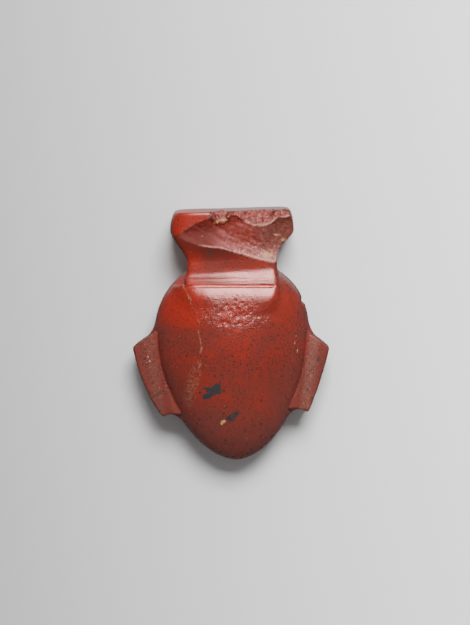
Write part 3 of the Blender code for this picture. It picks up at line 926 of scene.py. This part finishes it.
    def polished_colour(self):
        """Deep and bright red in clouds, brightest at the upper left, browner below and outside."""
        mottle = self.clouds(*MOTTLE)
        redness = self.ramp(0.35, 0.68, mottle) * 0.5 + (self.fine_mottle - 0.5) * 0.5
        redness = redness + self.within(**LEFT_SHOULDER) * 0.8 + self.within(**RIM_LEFT) * 0.4
        colour = self.blend(self.ramp(0.0, 1.0, redness), DEEP_RED, BRIGHT_RED)
        low = self.ramp(*BROWN_TIP, self.y + (mottle - 0.5) * 8)
        colour = self.covered(colour, "brown tip", low, BROWN_RED)
        sides = self.ramp(*BROWN_SIDES, abs(self.x)) * self.ramp(*BELOW_SHOULDERS, self.y)
        return self.covered(colour, "brown sides", sides, BROWN_RED)

    def over_lugs(self, colour):
        """Brown on the lugs, with pale dust in the rough strip."""
        colour = self.covered(colour, "lugs", self.on_lug, BROWN_RED)
        return self.covered(colour, "dust", self.rough_strip * self.patches("dust"), DUSTY_RED)

    def over_neck(self, colour):
        """Darker red painted shade under the rim's flare, and brighter red painted light in the
        groove under the lip.
        """
        # Painted shade: darker red on the neck under the rim's flare, fading out below the break's
        # lower edge
        shade = self.within(**UNDER_RIM) * self.ramp(*BELOW_HINGE, self.above_hinge) * self.front
        colour = self.covered(colour, "shade under the rim", shade, PAINTED_SHADE_RED)
        # Painted light: a brighter red along the groove
        groove = self.ramp(*GROOVE_BAND, abs(self.y - GROOVE_HEIGHT)) * self.front
        groove = groove * self.ramp(*GROOVE_END, abs(self.x))
        return self.covered(colour, "painted light in groove", groove, PAINTED_LIGHT_GROOVE_RED)

    def over_break(self, colour):
        """Large broken face: dull at right, painted shade at its left end, painted glints near the
        hinge.
        """
        face = self.blend(self.ramp(*DULL_BREAK_SIDE, self.x), FRESH_BREAK, DULL_BREAK)
        clouds = self.clouds(*BREAK_CLOUDS)
        # Painted shade: darker clouds that stand for shade in the break's crevices
        face = self.covered(face, "painted crevice shade", self.ramp(0.52, 0.36, clouds), PAINTED_SHADE_RED)
        # Painted glints: pale specks in clouds, most near the break's lower edge
        near_hinge = self.ramp(*NEAR_HINGE, self.above_hinge) * self.ramp(*PAINTED_GLINTS_ACROSS, self.x)
        speckled = self.ramp(0.53, 0.64, clouds) * (0.15 + near_hinge * 0.65)
        face = self.blend(speckled, face, PAINTED_GLINT)
        # Painted shade: the break's left end is darker
        face = self.covered(face, "painted shade at left end", self.break_left_end, PAINTED_SHADE_RED)
        return self.covered(colour, "broken face", self.broken, face)

    def over_crushed_edge(self, colour):
        """Pale crumbs with painted shade in their gaps and painted glints, and pale bruise lines,
        partly painted highlight.
        """
        values = {"Vector": self.place, "Scale": CRUMB_CELLS}
        crumb = self.node("ShaderNodeTexVoronoi", {}, values)
        # Painted shade: the crumbs darken towards the gaps between them
        crumbs = self.blend(self.ramp(0.25, 0.7, crumb), CRUSHED_RED, PAINTED_SHADE_RED)
        # Painted glints on the crumbs
        crumbs = self.covered(crumbs, "painted glints on crushed edge", self.patches("painted glints on crushed edge"), PAINTED_GLINT)
        colour = self.covered(colour, "crushed edge", self.crushed, crumbs)
        # Pale bruise lines along the break's edges, partly a painted highlight
        return self.covered(colour, "bruise and painted highlight line", self.bruise_and_highlight, PAINTED_GLINT)

    def over_vein(self, colour):
        """A thin broken vein down the left, and the brown patch that it ends in."""
        up = self.y - VEIN_BEND_HEIGHT
        middle = up * up * -VEIN_BEND + VEIN_ACROSS
        away = abs(self.x - middle + (self.clouds(*VEIN_BENDS) - 0.5) * VEIN_WANDER)
        present = self.patches("vein") * self.front * self.band(*VEIN_BAND)
        colour = self.covered(colour, "vein", self.ramp(*VEIN_EDGES, away) * present, OCHRE)
        patch = self.spots(BROWN_PATCH, 1.0, 0.6) * self.patches("brown patch")
        return self.covered(colour, "brown patch", patch, RUST)

    def over_specks(self, colour):
        colour = self.blend(self.dark_specks, colour, DARK_SPECK)
        pale = self.specks(*PALE_SPECKS)
        pale = pale.or_more(self.specks(*DUST_SPECKS) * self.rough_strip)
        return self.covered(colour, "pale specks", pale, PALE_OCHRE)

    def over_inclusions(self, colour):
        """Two black inclusions and dark spots, the smudge, stains, and nicks, pale and partly
        painted glints.
        """
        leaf = self.angular(LEAF, 0.15) * self.patches("leaf")
        dark_spots = self.spots(DARK_SPOTS, 0.6) * COVER["dark spots"]
        black = self.angular(BIRD, 0.12).or_more(leaf).or_more(dark_spots)
        colour = self.blend(black, colour, IRON_BLACK)
        smudge = self.spots(LUG_SMUDGE, 1.0, 0.5)
        colour = self.covered(colour, "smudge", smudge, GREEN_GREY)
        # Pale nicks, partly painted glints
        nicks = self.spots(PALE_NICKS_AND_GLINTS, 0.5, 0.4)
        colour = self.covered(colour, "pale nicks and painted glints", nicks, PAINTED_GLINT)
        stains = self.spots(BREAK_STAINS, 1.4, 0.6) * self.patches("stains")
        colour = self.covered(colour, "stains", stains, PALE_OCHRE)
        chips = self.spots(OCHRE_CHIPS, 0.6)
        return self.covered(colour, "ochre chips", chips, PALE_OCHRE)

    def roughness(self):
        """Rougher where it is broken, beside the heart on the lugs, and at the neck's left."""
        rough = self.summed(ROUGHNESS) + (self.fine_mottle - 0.5) * 0.16
        neck_left = self.within(**NECK_LEFT) * (1 - self.broken)
        rough = rough + neck_left * (0.07 + self.on_lip * 0.2)
        return rough + self.break_left_end * self.broken * 0.4

    def fine_relief(self):
        """Grain, fine pits and polishing scratches, in millimetres."""
        height = self.clouds(*GRAIN) * self.summed(GRAIN_DEPTH)
        height = height - self.specks(*FINE_PITS) * self.summed(FINE_PIT_DEPTH)
        along = self.moved(self.place, (0.0, 0.0, 0.0), SCRATCH_STRETCH)
        depth = SCRATCH_DEPTH + self.on_lip * LIP_SCRATCH_DEPTH
        polished = (1 - self.broken) * (1 - self.crushed)
        height = height + self.clouds(*SCRATCHES, place=along) * depth * polished
        return height - self.dark_specks * SPECK_DEPTH

    def finished(self):
        colour = self.polished_colour()
        layers = (
            self.over_lugs,
            self.over_neck,
            self.over_break,
            self.over_crushed_edge,
            self.over_vein,
            self.over_specks,
            self.over_inclusions,
        )
        for layer in layers:
            colour = layer(colour)
        self.feed(self.surface.inputs["Base Color"], colour)
        self.feed(self.surface.inputs["Specular Tint"], (*GLOSS_TINT, 1.0))
        self.feed(self.surface.inputs["Roughness"], self.roughness())
        values = {"Height": self.fine_relief(), "Strength": 1.0, "Distance": 1.0 / METRES_TO_MM}
        self.feed(self.surface.inputs["Normal"], self.node("ShaderNodeBump", {}, values))
        return self.material


# Camera: it looks down on the lying amulet, leaning a little towards the rim
CAMERA_DISTANCE = 0.6
CAMERA_LEAN = math.radians(4.2)
PHOTO_HEIGHT = 0.099
SENSOR_HEIGHT = 36.0
AIM = Vector((0.00063, 0.00348, 0.0075))


def camera():
    data = bpy.data.cameras.new("camera")
    data.sensor_fit = "VERTICAL"
    data.sensor_height = SENSOR_HEIGHT
    data.lens = SENSOR_HEIGHT * CAMERA_DISTANCE / PHOTO_HEIGHT
    towards = Vector((0.0, math.sin(CAMERA_LEAN), math.cos(CAMERA_LEAN)))
    upwards = Vector((0.0, math.cos(CAMERA_LEAN), -math.sin(CAMERA_LEAN)))
    turning = Matrix((Vector((1.0, 0.0, 0.0)), upwards, towards)).transposed().to_4x4()
    eye = bpy.data.objects.new("camera", data)
    eye.matrix_world = Matrix.Translation(AIM + towards * CAMERA_DISTANCE) @ turning
    bpy.context.scene.collection.objects.link(eye)
    bpy.context.scene.camera = eye


# Lights: each is a rectangle that faces the middle of the stone
STONE_MIDDLE = Vector((0.0, 0.0, 0.007))
AMBIENT_STRENGTH = 0.17


def soft_light(name, place, size, watts, seen_by):
    """A light that either the matt shading or the gloss sees, so that each can be set by itself."""
    data = bpy.data.lights.new(name, "AREA")
    data.shape = "RECTANGLE"
    data.size, data.size_y = size
    data.energy = watts
    lamp = bpy.data.objects.new(name, data)
    place = Vector(place)
    towards = place - STONE_MIDDLE
    turning = towards.to_track_quat("Z", "Y").to_matrix().to_4x4()
    lamp.matrix_world = Matrix.Translation(place) @ turning
    lamp.visible_diffuse = seen_by == "matt"
    lamp.visible_glossy = seen_by == "gloss"
    bpy.context.scene.collection.objects.link(lamp)


def lights():
    soft_light("key", (0.06, 0.30, 0.53), (0.22, 0.22), 7.2, "matt")
    soft_light("overhead_fill", (0.0, 0.0, 0.8), (0.8, 0.8), 0.8, "matt")
    soft_light("softbox_above_the_rim", (0.06, 0.47, 0.40), (0.27, 0.37), 18.5, "gloss")
    soft_light("softbox_fading_edge", (0.05, 0.26, 0.55), (0.27, 0.15), 2.0, "gloss")
    soft_light("card_under_the_rim", (0.0, 0.045, -0.04), (0.12, 0.06), 0.018, "gloss")
    world = bpy.data.worlds.new("studio")
    world.use_nodes = True
    background = world.node_tree.nodes["Background"]
    background.inputs["Color"].default_value = (1.0, 1.0, 1.0, 1.0)
    background.inputs["Strength"].default_value = AMBIENT_STRENGTH
    bpy.context.scene.world = world


# Floor: a large square whose grey grows lighter from left to right under the stone, painted light
# falling off across it
FLOOR_HALF_WIDTH = 1.5
FLOOR_LEFT = (0.40, 0.40, 0.40)
FLOOR_RIGHT = (0.98, 0.98, 0.98)
FLOOR_FADE = 0.045
FLOOR_ROUGHNESS = 0.9


def floor():
    """A pale floor that the stone's gloss doesn't mirror."""
    bm = bmesh.new()
    bmesh.ops.create_grid(bm, x_segments=1, y_segments=1, size=FLOOR_HALF_WIDTH)
    mesh = bpy.data.meshes.new("floor")
    bm.to_mesh(mesh)
    bm.free()
    plane = bpy.data.objects.new("floor", mesh)
    plane.visible_glossy = False
    bpy.context.scene.collection.objects.link(plane)
    shading = Shading("pale_floor")
    place = shading.node("ShaderNodeTexCoord", output="Object")
    across = shading.node("ShaderNodeSeparateXYZ", {}, {"Vector": place})
    # Painted light: the grey brightens towards the right
    values = {"Value": across, "From Min": -FLOOR_FADE, "From Max": FLOOR_FADE}
    lighter = shading.node("ShaderNodeMapRange", {}, values)
    colour = shading.blend(lighter, FLOOR_LEFT, FLOOR_RIGHT)
    shading.feed(shading.surface.inputs["Base Color"], colour)
    shading.feed(shading.surface.inputs["Roughness"], FLOOR_ROUGHNESS)
    mesh.materials.append(shading.material)


camera()
lights()
floor()
amulet()
